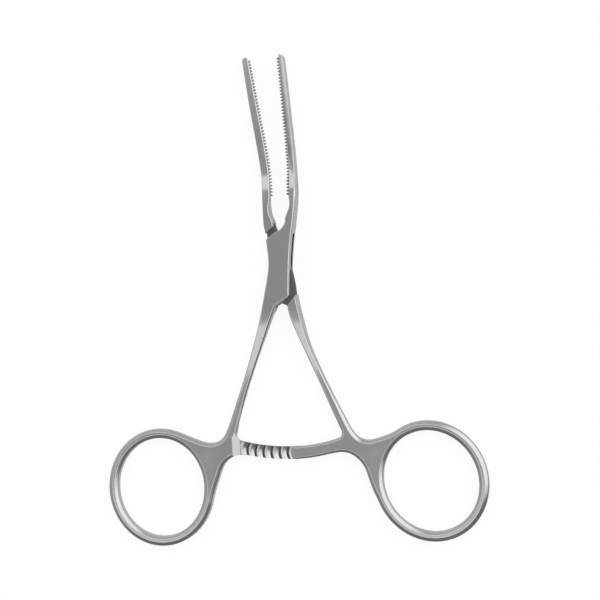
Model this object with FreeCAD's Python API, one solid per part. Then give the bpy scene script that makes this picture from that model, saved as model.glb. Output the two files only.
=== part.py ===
import FreeCAD, Part
import math
import os

# Atraumatic vascular clamp with a box lock, finger rings and a ratchet, partly open. Millimetres.
# The clamp lies flat: +Y runs along it to the jaws, +X to the right, +Z up to the viewer.
# The hinge axis is Z. The origin is on it, in the back face of the box.

# Thicknesses, all centred on one middle plane
BOX_THICK = 5.0
NECK_THICK = 4.5
JAW_THICK = 3.0
TIP_THICK = 2.5
RING_THICK = 3.0
MID = BOX_THICK / 2

# Places along the clamp where the thickness changes
JAW_TIP_Y = 58.3
LEFT_JAW_SHORT = 0.1
BEND_HIGH_Y = 26.5
BEND_LONG = 5.5
BOX_HIGH_Y = 12.5
BOX_EASE = 1.0
BOX_LOW_Y = -12.5
TAPER_LONG = 27.5

# Box lock
SLOT_GAP = 1.9
TONGUE_PLAY = 0.05
PIN_R = 1.2
PIN_PLAY = 0.04

# Ratchet: rack and arm are strips of a ring about the hinge; angles run from straight down
STRIP_IN_R = 50.6
STRIP_WIDE = 3.5
RACK_SHANK_DEG = -18.3
RACK_FOOT_DEG = -12.5
RACK_END_DEG = 3.3
ARM_SHANK_DEG = 17.6
ARM_FOOT_DEG = 10.0
ARM_TIP_DEG = 0.3
RATCHET_PITCH_DEG = 2.53
RATCHET_DEPTH = 0.6
RATCHET_LONG_SIDE = 0.68
RATCHET_CREST = 0.05
RATCHET_PLAY = 0.05
RACK_FIRST_DEG = -15.9
ARM_FIRST_DEG = 0.6
RACK_STEP_X = -16.6
RAMP_ABOVE = 2.4
RAMP_LONG = 5.0
ARM_STEP_X = 12.8
STRIP_OUT_R = STRIP_IN_R + STRIP_WIDE

# Finger rings, placed below the ratchet: each opening is an ellipse, turned by its lean
RING_BAR = 2.7
OPENING_RIM = 1.15
LEFT_RING = {"x": -38.2, "below": 10.2, "half_wide": 12.7, "taller": 1.2, "lean": 0.0}
RIGHT_RING = {"x": 38.6, "below": 10.75, "half_wide": 12.9, "taller": 1.1, "lean": 22.0}
LEFT_RING_SPAN_DEG = (105, 378)
RIGHT_RING_SPAN_DEG = (-32, 250)

# Corners that are rounded in the plan
JAW_TIP_ROUND = 0.8
BOX_CORNER_ROUND = 0.4
RACK_CORNER_ROUND = 1.6
ARM_CORNER_ROUND = 2.2
ARM_TIP_ROUND = 1.3

# Jaw teeth: one row on the right jaw closes into the groove between two rows on the left jaw
TOOTH_PITCH = 0.9
TOOTH_HIGH = 0.6
TOOTH_FOOT = 0.05
RIDGE_WIDE = 0.8
GROOVE_WIDE = 1.1
TEETH_FROM = 1.0

# The side views are drawn out beyond both rings and the jaw tips
PAST_END = 1.0
REACH = RIGHT_RING["x"] + 2 * RIGHT_RING["half_wide"]


def at(x, y, z=0.0):
    """A point of the plan, lifted to z."""
    return FreeCAD.Vector(x, y, z)


def polar(radius, degrees):
    """A point of the plan at an angle about the hinge, counted from straight down the clamp."""
    turn = math.radians(degrees)
    return (radius * math.sin(turn), -radius * math.cos(turn))


def near_strip(*points):
    """Points of the plan whose height is counted from the ratchet's inner side."""
    return [(x, rise - STRIP_IN_R) for x, rise in points]


def line(*points):
    """Straight edges from point to point."""
    ends = [at(*point) for point in points]
    return [Part.LineSegment(a, b).toShape() for a, b in zip(ends, ends[1:])]


def smooth(points, start=None, end=None):
    """A spline through the points, with its two end directions where they are given."""
    spline = Part.BSplineCurve()
    places = [at(*point) for point in points]
    if start is None:
        spline.interpolate(places)
    else:
        spline.interpolate(Points=places, InitialTangent=at(*start), FinalTangent=at(*end))
    return spline


def curve(points, start=None, end=None):
    """One smooth edge through the points."""
    return [smooth(points, start, end).toShape()]


def strip_arc(radius, start, end):
    """An arc about the hinge from one angle to the other."""
    middle = (start + end) / 2
    places = [at(*polar(radius, turn)) for turn in (start, middle, end)]
    return [Part.Arc(*places).toShape()]


def strip_way(degrees):
    """The direction along the ratchet strips at an angle, towards the left."""
    return polar(1.0, degrees - 90)


def prism(edges, low, high):
    """The closed outline as a solid from low to high."""
    face = Part.Face(Part.Wire(Part.__sortEdges__(edges)))
    solid = face.extrude(at(0, 0, high - low))
    solid.translate(at(0, 0, low))
    return solid


def drawn_out(edges, left, right):
    """The closed side view as a solid from left to right."""
    face = Part.Face(Part.Wire(Part.__sortEdges__(edges)))
    solid = face.extrude(at(right - left, 0, 0))
    solid.translate(at(left, 0, 0))
    return solid


def side_view():
    """The clamp's thickness as one solid: thin jaws, thick box, shanks that taper to thin rings."""
    tip, jaw, neck = TIP_THICK / 2, JAW_THICK / 2, NECK_THICK / 2
    box, ring = BOX_THICK / 2, RING_THICK / 2
    step_y = BEND_HIGH_Y - BEND_LONG
    taper_y = BOX_LOW_Y - TAPER_LONG
    end_y = -STRIP_IN_R - RIGHT_RING["below"] - 3 * RIGHT_RING["half_wide"]
    upper = [(JAW_TIP_Y + PAST_END, tip), (BEND_HIGH_Y + 2 * BEND_LONG, jaw)]
    upper += [(BEND_HIGH_Y + BEND_LONG / 2, jaw), (BEND_HIGH_Y, jaw)]
    upper += [(step_y + BEND_LONG / 4, neck), (step_y - BEND_LONG / 2, neck)]
    upper += [(BOX_HIGH_Y + BOX_EASE, box), (BOX_HIGH_Y, box)]
    lower = [(BOX_LOW_Y - share * TAPER_LONG, box) for share in (0.0, 0.12, 0.25)]
    lower += [(BOX_LOW_Y - share * TAPER_LONG, ring) for share in (0.6, 0.85, 1.0)]
    edges = []
    for side in (1, -1):
        for poles in (upper, lower):
            spline = Part.BSplineCurve()
            spline.buildFromPoles([at(0, y, MID + side * half) for y, half in poles], False, 3)
            edges.append(spline.toShape())
        for high_y, low_y, half in ((BOX_HIGH_Y, BOX_LOW_Y, box), (taper_y, end_y, ring)):
            z = MID + side * half
            edges.append(Part.LineSegment(at(0, high_y, z), at(0, low_y, z)).toShape())
    for y, half in (upper[0], (end_y, ring)):
        edges.append(Part.LineSegment(at(0, y, MID - half), at(0, y, MID + half)).toShape())
    return drawn_out(edges, -REACH, REACH)


def ring_oval(ring, grow):
    """The finger opening's ellipse, grown outward. It runs clockwise from its top."""
    lean = math.radians(ring["lean"])
    wide = ring["half_wide"] + grow
    high = wide + ring["taller"]
    centre = at(ring["x"], -STRIP_IN_R - ring["below"])
    top = centre + at(-high * math.sin(lean), high * math.cos(lean))
    side = centre + at(wide * math.cos(lean), wide * math.sin(lean))
    return Part.Ellipse(top, side, centre)


def ring_arc(ring, start, end):
    """The ring's outer side, clockwise between two directions counted from +Y, and its end data."""
    oval = ring_oval(ring, RING_BAR)
    first = math.radians(start + ring["lean"])
    last = math.radians(end + ring["lean"])
    ends = [oval.value(first), oval.value(last)]
    ways = [oval.tangent(first)[0], oval.tangent(last)[0]]
    edge = Part.ArcOfEllipse(oval, first, last).toShape()
    return [edge], [(p.x, p.y) for p in ends], [(w.x, w.y) for w in ways]


def toothed(points, outward):
    """The outline of a gripping face along the points: triangular teeth on a smooth line."""
    spline = smooth(points)
    count = int((spline.length() - 1.5 * TEETH_FROM) / TOOTH_PITCH)
    outline = [points[0]]
    for tooth in range(count):
        for step, high in ((0.0, 0.0), (0.5, TOOTH_HIGH)):
            reach = TEETH_FROM + (tooth + step) * TOOTH_PITCH
            where = spline.parameterAtDistance(reach, spline.FirstParameter)
            foot = spline.value(where)
            along = spline.tangent(where)[0]
            outline.append((foot.x - outward * along.y * high, foot.y + outward * along.x * high))
    outline.append(points[-1])
    return outline


def round_corner(solid, place, radius):
    """Round the upright edge that stands at a place of the plan."""
    upright = [
        edge for edge in solid.Edges
        if all(math.hypot(v.X - place[0], v.Y - place[1]) < 0.02 for v in edge.Vertexes)
    ]
    return solid.makeFillet(radius, upright)


def hollow_ring(solid, ring):
    """Cut a finger ring's opening through, with rounded rims."""
    oval = ring_oval(ring, 0.0)
    hole = Part.Face(Part.Wire([oval.toShape()])).extrude(at(0, 0, BOX_THICK))
    cut = solid.cut(hole)
    rims = []
    for edge in cut.Edges:
        middle = at(edge.CenterOfMass.x, edge.CenterOfMass.y)
        if edge.isClosed() and (middle - oval.Center).Length < RING_BAR:
            rims.append(edge)
    return cut.makeFillet(OPENING_RIM, rims)


def notches(first_deg, last_deg, long_first, crest_z, deepen):
    """Cutters for the ratchet's saw teeth: V grooves across a strip, steep on one side."""
    count = int((last_deg - first_deg) / RATCHET_PITCH_DEG)
    valley = RATCHET_LONG_SIDE if long_first else 1 - RATCHET_LONG_SIDE
    clear_z = crest_z - deepen
    shares = [(RATCHET_CREST, crest_z), (valley, crest_z + deepen * RATCHET_DEPTH)]
    shares += [(1 - RATCHET_CREST, crest_z), (1 - RATCHET_CREST, clear_z), (RATCHET_CREST, clear_z)]
    cutters = []
    for number in range(count):
        sections = []
        for radius in (STRIP_IN_R - STRIP_WIDE, STRIP_OUT_R + STRIP_WIDE):
            corners = []
            for share, z in shares:
                place = polar(radius, first_deg + (number + share) * RATCHET_PITCH_DEG)
                corners.append(at(*place, z))
            sections.append(Part.makePolygon(corners + corners[:1]))
        cutters.append(Part.makeLoft(sections, True, True))
    return cutters


def ribbon(points, outward, half_low, half_high):
    """Room along a gripping face, from just under its teeth to past them, above the middle plane."""
    foot = [(x - outward * TOOTH_FOOT, y) for x, y in points]
    past = [(x + outward * 2 * TOOTH_HIGH, y) for x, y in points]
    edges = curve(foot) + line(foot[-1], past[-1]) + curve(past[::-1]) + line(past[0], foot[0])
    return prism(edges, MID + half_low, MID + half_high)


def below(y):
    """All that lies further from the jaw tips than a place."""
    return Part.makeBox(2 * REACH, REACH, 2 * BOX_THICK, at(-REACH, y - REACH, MID - BOX_THICK))


# Plan of the box arm, clockwise from the tip of the right jaw

RIGHT_JAW_BACK = [
    (4.3, JAW_TIP_Y), (4.93, 48.6), (5.46, 38.5), (5.92, 28.4), (5.9, 21.7), (5.35, 15.0),
    (4.2, 8.4), (3.25, 1.7), (2.45, -9.0),
]
RIGHT_JAW_FACE = [
    (3.05, JAW_TIP_Y), (3.45, 49.5), (3.85, 39.0), (4.1, 30.0), (4.1, 23.4), (3.85, 18.5),
]
RIGHT_NECK = [(3.85, 18.5), (3.9, 16.4), (3.3, 14.6), (2.6, 13.0), (2.4, 11.6)]
BOX_NOTCH = [(2.4, 11.6), (1.3, 10.1), (0.3, 9.4), (-0.5, 9.2)]
BOX_HIGH_CORNER = (-3.25, 7.2)
LEFT_SHANK_INNER = [
    (-1.75, -11.4), (-2.5, -13.0), (-5.3, -19.6), (-9.46, -29.4), (-12.05, -36.05),
    *near_strip((-14.25, 7.9)), polar(STRIP_IN_R, RACK_SHANK_DEG),
]
LEFT_WEB = near_strip((-16.2, -2.15), (-18.9, -3.8), (-20.8, -7.4))
LEFT_SHANK_OUTER = [
    *near_strip((-25.6, 2.35), (-22.4, 1.8), (-19.5, 3.0), (-18.1, 5.0), (-15.45, 11.35)),
    (-12.8, -32.6), (-10.25, -26.0), (-7.85, -19.4), (-5.85, -12.8), (-4.2, -6.1), (-2.95, 0.4),
]
# The room that the tongue swings in, open on both sides of the box
SLOT = [
    (-6.0, 12.0), (0.5, 12.0), (0.5, 10.1), (6.0, 7.7), (6.0, -12.5), (-1.9, -12.5), (-1.9, -11.2),
    (-6.0, -8.3),
]


def box_arm_plan():
    """The outline of the right jaw, the box, the left shank, the left ring and the rack."""
    ring, ends, ways = ring_arc(LEFT_RING, *LEFT_RING_SPAN_DEG)
    foot = polar(STRIP_OUT_R, RACK_FOOT_DEG)
    edges = curve(RIGHT_JAW_BACK)
    edges += line(RIGHT_JAW_BACK[-1], LEFT_SHANK_INNER[0])
    edges += curve(LEFT_SHANK_INNER)
    edges += strip_arc(STRIP_IN_R, RACK_SHANK_DEG, RACK_END_DEG)
    edges += line(polar(STRIP_IN_R, RACK_END_DEG), polar(STRIP_OUT_R, RACK_END_DEG))
    edges += strip_arc(STRIP_OUT_R, RACK_END_DEG, RACK_FOOT_DEG)
    edges += curve([foot] + LEFT_WEB + [ends[0]], strip_way(RACK_FOOT_DEG), ways[0])
    edges += ring
    edges += curve([ends[1]] + LEFT_SHANK_OUTER + [BOX_HIGH_CORNER], ways[1], (-0.05, 1.0))
    edges += line(BOX_HIGH_CORNER, BOX_NOTCH[-1])
    edges += curve(BOX_NOTCH[::-1])
    edges += curve(RIGHT_NECK[::-1])
    edges += line(*toothed(RIGHT_JAW_FACE, 1)[::-1])
    edges += line(RIGHT_JAW_FACE[0], RIGHT_JAW_BACK[0])
    return edges


def rack_recess():
    """The front half that is left out of the rack, with a ramp up the shank's inner side."""
    past_z = 2 * BOX_THICK
    floor_z = MID - RATCHET_PLAY
    ramp_low_y = RAMP_ABOVE - STRIP_IN_R
    ramp_high_y = ramp_low_y + RAMP_LONG
    low_y = -STRIP_OUT_R - STRIP_WIDE
    side = [(low_y, floor_z), (ramp_low_y, floor_z), (ramp_high_y, MID + RING_THICK)]
    side += [(ramp_high_y, past_z), (low_y, past_z)]
    places = [at(0, y, z) for y, z in side]
    edges = Part.makePolygon(places + places[:1]).Edges
    return drawn_out(edges, RACK_STEP_X, polar(STRIP_OUT_R, RACK_END_DEG)[0] + STRIP_WIDE)


def box_arm():
    """The forging with the right jaw, the slotted box, the left shank, its ring and the rack."""
    solid = prism(box_arm_plan(), 0, BOX_THICK)
    solid = round_corner(solid, RIGHT_JAW_BACK[0], JAW_TIP_ROUND)
    solid = round_corner(solid, RIGHT_JAW_BACK[-1], BOX_CORNER_ROUND)
    solid = round_corner(solid, LEFT_SHANK_INNER[-1], RACK_CORNER_ROUND)
    solid = hollow_ring(solid.common(side_view()), LEFT_RING)
    solid = solid.cut(rack_recess())
    solid = solid.cut(notches(RACK_FIRST_DEG, RACK_END_DEG, True, MID - RATCHET_PLAY, -1))
    for side in (1, -1):
        low, high = sorted((side * RIDGE_WIDE / 2, side * BOX_THICK))
        solid = solid.cut(ribbon(RIGHT_JAW_FACE, -1, low, high).cut(below(BEND_HIGH_Y)))
    slot = prism(line(*SLOT, SLOT[0]), MID - SLOT_GAP / 2, MID + SLOT_GAP / 2)
    bore = Part.makeCylinder(PIN_R, BOX_THICK)
    return solid.cut([slot, bore])


# Plan of the tongue arm

LEFT_JAW_FACE = [
    (-6.2, JAW_TIP_Y - LEFT_JAW_SHORT), (-4.9, 48.0), (-3.5, 38.0), (-2.5, 30.5), (-1.95, 24.0),
    (-1.85, 18.6),
]
LEFT_NECK = [(-1.85, 18.6), (-2.2, 16.6), (-2.05, 14.2), (-1.3, 12.3), (-1.06, 10.7)]
LEFT_JAW_BACK = [
    (-3.3, 9.0), (-3.6, 10.6), (-3.72, 14.0), (-3.66, 19.0), (-3.62, 24.0), (-4.02, 28.9),
    (-4.85, 35.7), (-5.74, 42.45), (-7.45, JAW_TIP_Y - LEFT_JAW_SHORT),
]
TONGUE_LEFT = [(-3.2, 9.6), (-3.1, 7.0), (-2.3, 1.5), (-1.7, -3.0), (-1.0, -8.0), (-0.7, -10.0)]
TONGUE_CROTCH = [(-0.7, -10.0), (0.2, -10.8), (1.2, -11.3), (2.3, -12.6)]
TONGUE_RIGHT = [
    (-1.5, 12.6), (-1.0, 11.4), (-0.6, 10.3), (0.1, 8.6), (1.3, 5.0), (2.6, 0.5), (3.25, -2.0),
    (4.05, -8.0), (4.1, -10.0),
]
RIGHT_SHANK_OUTER = [
    (4.15, -8.6), (4.6, -11.7), (5.3, -15.1), (6.9, -21.8), (8.1, -25.2), (11.66, -33.7),
    *near_strip((14.7, 10.1), (16.25, 6.7), (17.9, 3.6), (19.8, 1.7), (22.1, 1.1), (25.1, 1.65)),
]
RIGHT_SHANK_INNER = [
    polar(STRIP_IN_R, ARM_SHANK_DEG), *near_strip((12.14, 10.2)), (8.1, -30.2), (5.43, -23.4),
    (2.94, -16.6), (2.0, -13.4), (1.75, -11.45),
]
RIGHT_WEB = near_strip(
    (22.7, -13.1), (21.5, -9.4), (20.6, -6.6), (18.7, -3.9), (16.3, -2.35), (13.4, -2.05),
)


def left_jaw_plan():
    """The outline of the left jaw and its neck, down to the shoulder above the tongue."""
    edges = line(*toothed(LEFT_JAW_FACE, -1))
    edges += curve(LEFT_NECK)
    edges += line(LEFT_NECK[-1], LEFT_JAW_BACK[0])
    edges += curve(LEFT_JAW_BACK)
    edges += line(LEFT_JAW_BACK[-1], LEFT_JAW_FACE[0])
    return edges


def tongue_plan():
    """The outline of the thin tongue that passes through the box."""
    edges = curve(TONGUE_LEFT)
    edges += curve(TONGUE_CROTCH)
    edges += line(TONGUE_CROTCH[-1], TONGUE_RIGHT[-1])
    edges += curve(TONGUE_RIGHT)
    edges += line(TONGUE_RIGHT[0], TONGUE_LEFT[0])
    return edges


def right_handle_plan():
    """The outline of the right shank below its shoulder, the right ring and the ratchet arm."""
    ring, ends, ways = ring_arc(RIGHT_RING, *RIGHT_RING_SPAN_DEG)
    foot = polar(STRIP_OUT_R, ARM_FOOT_DEG)
    edges = curve(RIGHT_SHANK_OUTER + [ends[0]], (0.1, -1.0), ways[0])
    edges += ring
    edges += curve([ends[1]] + RIGHT_WEB + [foot], ways[1], strip_way(ARM_FOOT_DEG))
    edges += strip_arc(STRIP_OUT_R, ARM_FOOT_DEG, ARM_TIP_DEG)
    edges += line(polar(STRIP_OUT_R, ARM_TIP_DEG), polar(STRIP_IN_R, ARM_TIP_DEG))
    edges += strip_arc(STRIP_IN_R, ARM_TIP_DEG, ARM_SHANK_DEG)
    edges += curve(RIGHT_SHANK_INNER)
    edges += line(RIGHT_SHANK_INNER[-1], RIGHT_SHANK_OUTER[0])
    return edges


def arm_recess():
    """The back half that is left out of the ratchet arm, over the rack."""
    high_y = -STRIP_IN_R + STRIP_WIDE
    low_y = -STRIP_OUT_R - STRIP_WIDE
    plan = line((-STRIP_WIDE, high_y), (ARM_STEP_X, high_y), (ARM_STEP_X, low_y), (-STRIP_WIDE, low_y))
    plan += line((-STRIP_WIDE, low_y), (-STRIP_WIDE, high_y))
    return prism(plan, -BOX_THICK, MID + RATCHET_PLAY)


def tongue_arm():
    """The forging with the left jaw, the tongue, the right shank, its ring and the ratchet arm."""
    view = side_view()
    jaw = prism(left_jaw_plan(), 0, BOX_THICK)
    jaw = round_corner(jaw, LEFT_JAW_BACK[-1], JAW_TIP_ROUND).common(view)
    jaw = jaw.cut(ribbon(LEFT_JAW_FACE, 1, -GROOVE_WIDE / 2, GROOVE_WIDE / 2))
    handle = prism(right_handle_plan(), 0, BOX_THICK)
    handle = round_corner(handle, RIGHT_SHANK_INNER[0], ARM_CORNER_ROUND)
    handle = round_corner(handle, polar(STRIP_OUT_R, ARM_TIP_DEG), ARM_TIP_ROUND)
    handle = hollow_ring(handle.common(view), RIGHT_RING)
    handle = handle.cut(arm_recess())
    last_deg = math.degrees(math.asin(ARM_STEP_X / STRIP_OUT_R))
    handle = handle.cut(notches(ARM_FIRST_DEG, last_deg, False, MID + RATCHET_PLAY, 1))
    half = SLOT_GAP / 2 - TONGUE_PLAY
    tongue = prism(tongue_plan(), MID - half, MID + half)
    bore = Part.makeCylinder(PIN_R + PIN_PLAY, BOX_THICK)
    return jaw.fuse([tongue, handle]).removeSplitter().cut(bore)


def pivot_pin():
    """The pin that is riveted flush into both walls of the box."""
    return Part.makeCylinder(PIN_R, BOX_THICK)


os.makedirs("parts", exist_ok=True)
for make in (box_arm, tongue_arm, pivot_pin):
    shape = make()
    shape.exportStep("parts/" + make.__name__ + ".step")
    print(make.__name__, len(shape.Solids), shape.isValid(), round(shape.Volume, 1))
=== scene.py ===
import math

import bmesh
import bpy
import numpy as np
from mathutils import Matrix, Vector
from mathutils.geometry import tessellate_polygon


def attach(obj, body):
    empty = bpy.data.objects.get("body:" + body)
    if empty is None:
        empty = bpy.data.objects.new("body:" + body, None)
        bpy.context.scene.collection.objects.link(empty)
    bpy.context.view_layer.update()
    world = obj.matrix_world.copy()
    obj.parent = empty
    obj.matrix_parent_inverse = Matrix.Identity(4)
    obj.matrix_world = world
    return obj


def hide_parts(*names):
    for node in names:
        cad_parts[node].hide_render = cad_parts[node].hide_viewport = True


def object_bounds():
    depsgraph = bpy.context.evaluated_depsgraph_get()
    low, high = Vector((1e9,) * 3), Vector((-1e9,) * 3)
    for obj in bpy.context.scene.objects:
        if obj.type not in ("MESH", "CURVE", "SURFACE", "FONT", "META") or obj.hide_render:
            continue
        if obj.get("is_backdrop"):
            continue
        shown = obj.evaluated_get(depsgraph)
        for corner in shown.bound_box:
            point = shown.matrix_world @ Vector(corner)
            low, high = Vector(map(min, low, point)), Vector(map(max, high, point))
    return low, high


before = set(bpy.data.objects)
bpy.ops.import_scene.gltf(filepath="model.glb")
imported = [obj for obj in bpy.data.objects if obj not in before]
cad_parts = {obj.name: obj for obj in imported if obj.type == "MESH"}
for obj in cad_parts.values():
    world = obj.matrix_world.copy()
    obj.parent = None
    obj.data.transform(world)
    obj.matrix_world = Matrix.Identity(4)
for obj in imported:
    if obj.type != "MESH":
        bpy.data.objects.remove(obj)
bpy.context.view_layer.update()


# The steel of both forgings: martensitic stainless, bead blasted to a satin grey that takes away
# glare and drawn lightly along the shanks. Inside the box lock and on the steep walls of the notches
# it is rougher as milled and painted dark as shade; the right jaw's teeth are cut and painted darker as
# shade.

STEEL_COLOUR = (0.70, 0.70, 0.705, 1.0)
PAINTED_SHADE_COLOUR = (0.17, 0.17, 0.175, 1.0)
TEETH_PAINTED_SHADE_COLOUR = (0.3, 0.3, 0.305, 1.0)
GRAIN_MM = 0.09
GRAIN_DEEP_MM = 0.01
GRAIN_AGAINST_STREAKS = 0.25
RELIEF = 0.25
CLOUD_MM = 5.0
STREAK_WIDE_MM, STREAK_LONG_MM = 0.35, 14.0
SHANK_LEAN = 0.4
DRIFT_LOW, DRIFT_HIGH = 0.7, 1.3


def steel_kind(name, colour, rough_low, rough_high):
    """Metal with the blasting's fine grain and a roughness that drifts in clouds and streaks."""
    material = bpy.data.materials.new(name)
    material.use_nodes = True
    nodes, links = material.node_tree.nodes, material.node_tree.links
    steel = nodes["Principled BSDF"]
    steel.inputs["Base Color"].default_value = colour
    steel.inputs["Metallic"].default_value = 1.0
    place = nodes.new("ShaderNodeTexCoord")
    clouds = nodes.new("ShaderNodeTexNoise")
    clouds.inputs["Scale"].default_value = 1000.0 / CLOUD_MM
    clouds.inputs["Detail"].default_value = 4.0
    parts = nodes.new("ShaderNodeSeparateXYZ")
    aside = nodes.new("ShaderNodeMath")
    aside.operation = "ABSOLUTE"
    below = nodes.new("ShaderNodeMath")
    below.operation = "MINIMUM"
    below.inputs[1].default_value = 0.0
    across = nodes.new("ShaderNodeMath")
    across.operation = "MULTIPLY_ADD"
    across.inputs[1].default_value = SHANK_LEAN
    along = nodes.new("ShaderNodeCombineXYZ")
    stretch = nodes.new("ShaderNodeVectorMath")
    stretch.operation = "MULTIPLY"
    stretch.inputs[1].default_value = (1000.0 / STREAK_WIDE_MM, 1000.0 / STREAK_LONG_MM, 1.0)
    streaks = nodes.new("ShaderNodeTexNoise")
    streaks.inputs["Scale"].default_value = 1.0
    streaks.inputs["Detail"].default_value = 3.0
    both = nodes.new("ShaderNodeMath")
    both.operation = "ADD"
    rough = nodes.new("ShaderNodeMapRange")
    rough.inputs["From Min"].default_value = DRIFT_LOW
    rough.inputs["From Max"].default_value = DRIFT_HIGH
    rough.inputs["To Min"].default_value = rough_low
    rough.inputs["To Max"].default_value = rough_high
    grain = nodes.new("ShaderNodeTexNoise")
    grain.inputs["Scale"].default_value = 1000.0 / GRAIN_MM
    grain.inputs["Detail"].default_value = 2.0
    heights = nodes.new("ShaderNodeMath")
    heights.operation = "MULTIPLY_ADD"
    heights.inputs[1].default_value = GRAIN_AGAINST_STREAKS
    bump = nodes.new("ShaderNodeBump")
    bump.inputs["Strength"].default_value = RELIEF
    bump.inputs["Distance"].default_value = GRAIN_DEEP_MM / 1000.0
    links.new(place.outputs["Object"], clouds.inputs["Vector"])
    links.new(place.outputs["Object"], grain.inputs["Vector"])
    links.new(place.outputs["Object"], parts.inputs[0])
    links.new(parts.outputs["X"], aside.inputs[0])
    links.new(parts.outputs["Y"], below.inputs[0])
    links.new(below.outputs[0], across.inputs[0])
    links.new(aside.outputs[0], across.inputs[2])
    links.new(across.outputs[0], along.inputs["X"])
    links.new(parts.outputs["Y"], along.inputs["Y"])
    links.new(along.outputs[0], stretch.inputs[0])
    links.new(stretch.outputs[0], streaks.inputs["Vector"])
    links.new(clouds.outputs["Fac"], both.inputs[0])
    links.new(streaks.outputs["Fac"], both.inputs[1])
    links.new(both.outputs[0], rough.inputs["Value"])
    links.new(rough.outputs["Result"], steel.inputs["Roughness"])
    links.new(grain.outputs["Fac"], heights.inputs[0])
    links.new(streaks.outputs["Fac"], heights.inputs[2])
    links.new(heights.outputs[0], bump.inputs["Height"])
    links.new(bump.outputs["Normal"], steel.inputs["Normal"])
    return material


STEEL = steel_kind("satin_steel", STEEL_COLOUR, 0.12, 0.19)
# Milled steel: rougher as milled, its dark colour is painted shade for the box lock and notch walls.
MILLED_PAINTED_SHADE = steel_kind("milled_steel_painted_shade", PAINTED_SHADE_COLOUR, 0.35, 0.5)
# Cut steel for the right jaw's teeth: its darker colour is painted shade between the teeth.
CUT_PAINTED_SHADE = steel_kind("cut_steel_painted_shade", TEETH_PAINTED_SHADE_COLOUR, 0.2, 0.3)


# The box arm: right jaw, box with its slot, left shank, left ring and rack, forged in one and
# ground to a smooth outline. Its rim is a broad bevel on the ring and shank, barely broken at the
# box and drawn out over the jaw's back. The plan is in millimetres, clockwise from the jaw tip.

MM = 0.001
MID = 2.5
BOX_HALF = 2.5
STEP = 0.35
STRIP_IN_R, STRIP_OUT_R = 50.6, 54.1
STRIP_HALF = 1.75
STRIP_PLAY = 0.05
STRIP_RIM = 0.3
RACK_SHANK_DEG, RACK_WEB_DEG, RACK_TIP_DEG = -18.3, -12.5, 3.3
RING_BAR = 2.7
RING_RIM = 1.1
RING_STEPS, OPENING_STEPS = 230, 240
LEFT_RING_SPAN_DEG = (105, 378)
LEFT_RING = {"x": -38.2, "y": -60.8, "wide": 12.7, "high": 13.9, "lean": 0.0}
THICKNESS_SLOPES = [
    (-80.0, 0.0), (-66.0, 0.0), (-60.0, -0.02), (-40.0, -0.02), (-35.0, 0.01), (-31.0, 0.04),
    (-28.0, 0.085), (-17.0, 0.095), (-12.0, 0.0), (12.5, 0.0), (13.5, -0.01), (17.5, -0.025),
    (20.4, -0.03), (23.0, -0.17), (25.7, -0.03), (28.5, -0.015), (31.0, -0.008), (60.0, -0.008),
]
SLOPE_STEP = 0.1
PLACES_ALONG = np.arange(-80.0, 60.0, SLOPE_STEP)
HALF_THERE = np.cumsum(np.interp(PLACES_ALONG, *zip(*THICKNESS_SLOPES))) * SLOPE_STEP
HALF_THERE += BOX_HALF - np.interp(0.0, PLACES_ALONG, HALF_THERE)
CROWN_SLOPES = [(24.6, 0.0), (26.0, 0.1), (29.0, 0.09), (33.0, 0.06), (50.0, 0.03), (58.0, 0.03)]
CROWN_FROM_X = 5.4


def half_thick(x, y):
    """Half of the clamp's thickness at a place of its plan: thin jaws, thick box, thin rings."""
    return float(np.interp(y, PLACES_ALONG, HALF_THERE))


def half_with_crown(x, y):
    """The same with the right jaw's face ground down a little towards its gripping side."""
    slope = np.interp(y, *zip(*CROWN_SLOPES))
    return half_thick(x, y) - float(slope) * max(0.0, CROWN_FROM_X - x)


def ease(t):
    """From 0 to 1 with a level start and end."""
    t = min(max(t, 0.0), 1.0)
    return t * t * (3 - 2 * t)


def polar(radius, degrees):
    """A place at an angle about the hinge, counted from straight down the clamp."""
    turn = math.radians(degrees)
    return (radius * math.sin(turn), -radius * math.cos(turn))


def smooth_line(points, start=None, end=None):
    """Places along a curve with even bending through the points; its ends may have directions."""
    p = np.array(points, float)
    h = np.linalg.norm(np.diff(p, axis=0), axis=1)
    rise = np.diff(p, axis=0) / h[:, None]
    n = len(p)
    a = np.zeros((n, n))
    b = np.zeros((n, 2))
    for i in range(1, n - 1):
        a[i, i - 1:i + 2] = h[i], 2 * (h[i] + h[i - 1]), h[i - 1]
        b[i] = 3 * (h[i] * rise[i - 1] + h[i - 1] * rise[i])
    for row, way in ((0, start), (n - 1, end)):
        if way is None:
            a[row, row] = 2.0
            a[row, row + (1 if row == 0 else -1)] = 1.0
            b[row] = 3 * rise[0 if row == 0 else -1]
        else:
            a[row, row] = 1.0
            b[row] = np.array(way) / np.linalg.norm(way)
    m = np.linalg.solve(a, b)
    places = []
    for i in range(n - 1):
        count = max(1, math.ceil(h[i] / STEP))
        for t in np.arange(count) / count:
            s = t * t * (3 - 2 * t)
            places.append((1 - s) * p[i] + s * p[i + 1]
                          + h[i] * (t * (1 - t) ** 2 * m[i] - t * t * (1 - t) * m[i + 1]))
    places.append(p[-1])
    return np.array(places)


def straight(*points):
    """Places along straight runs."""
    places = []
    for a, b in zip(points, points[1:]):
        a, b = np.array(a, float), np.array(b, float)
        count = max(1, math.ceil(np.linalg.norm(b - a) / STEP))
        places += [a + (b - a) * k / count for k in range(count)]
    return np.array(places + [b])


def strip_arc(radius, start, end):
    """Places along an arc about the hinge."""
    count = math.ceil(abs(end - start) * radius * math.pi / 180 / STEP)
    return np.array([polar(radius, start + (end - start) * k / count) for k in range(count + 1)])


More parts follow.
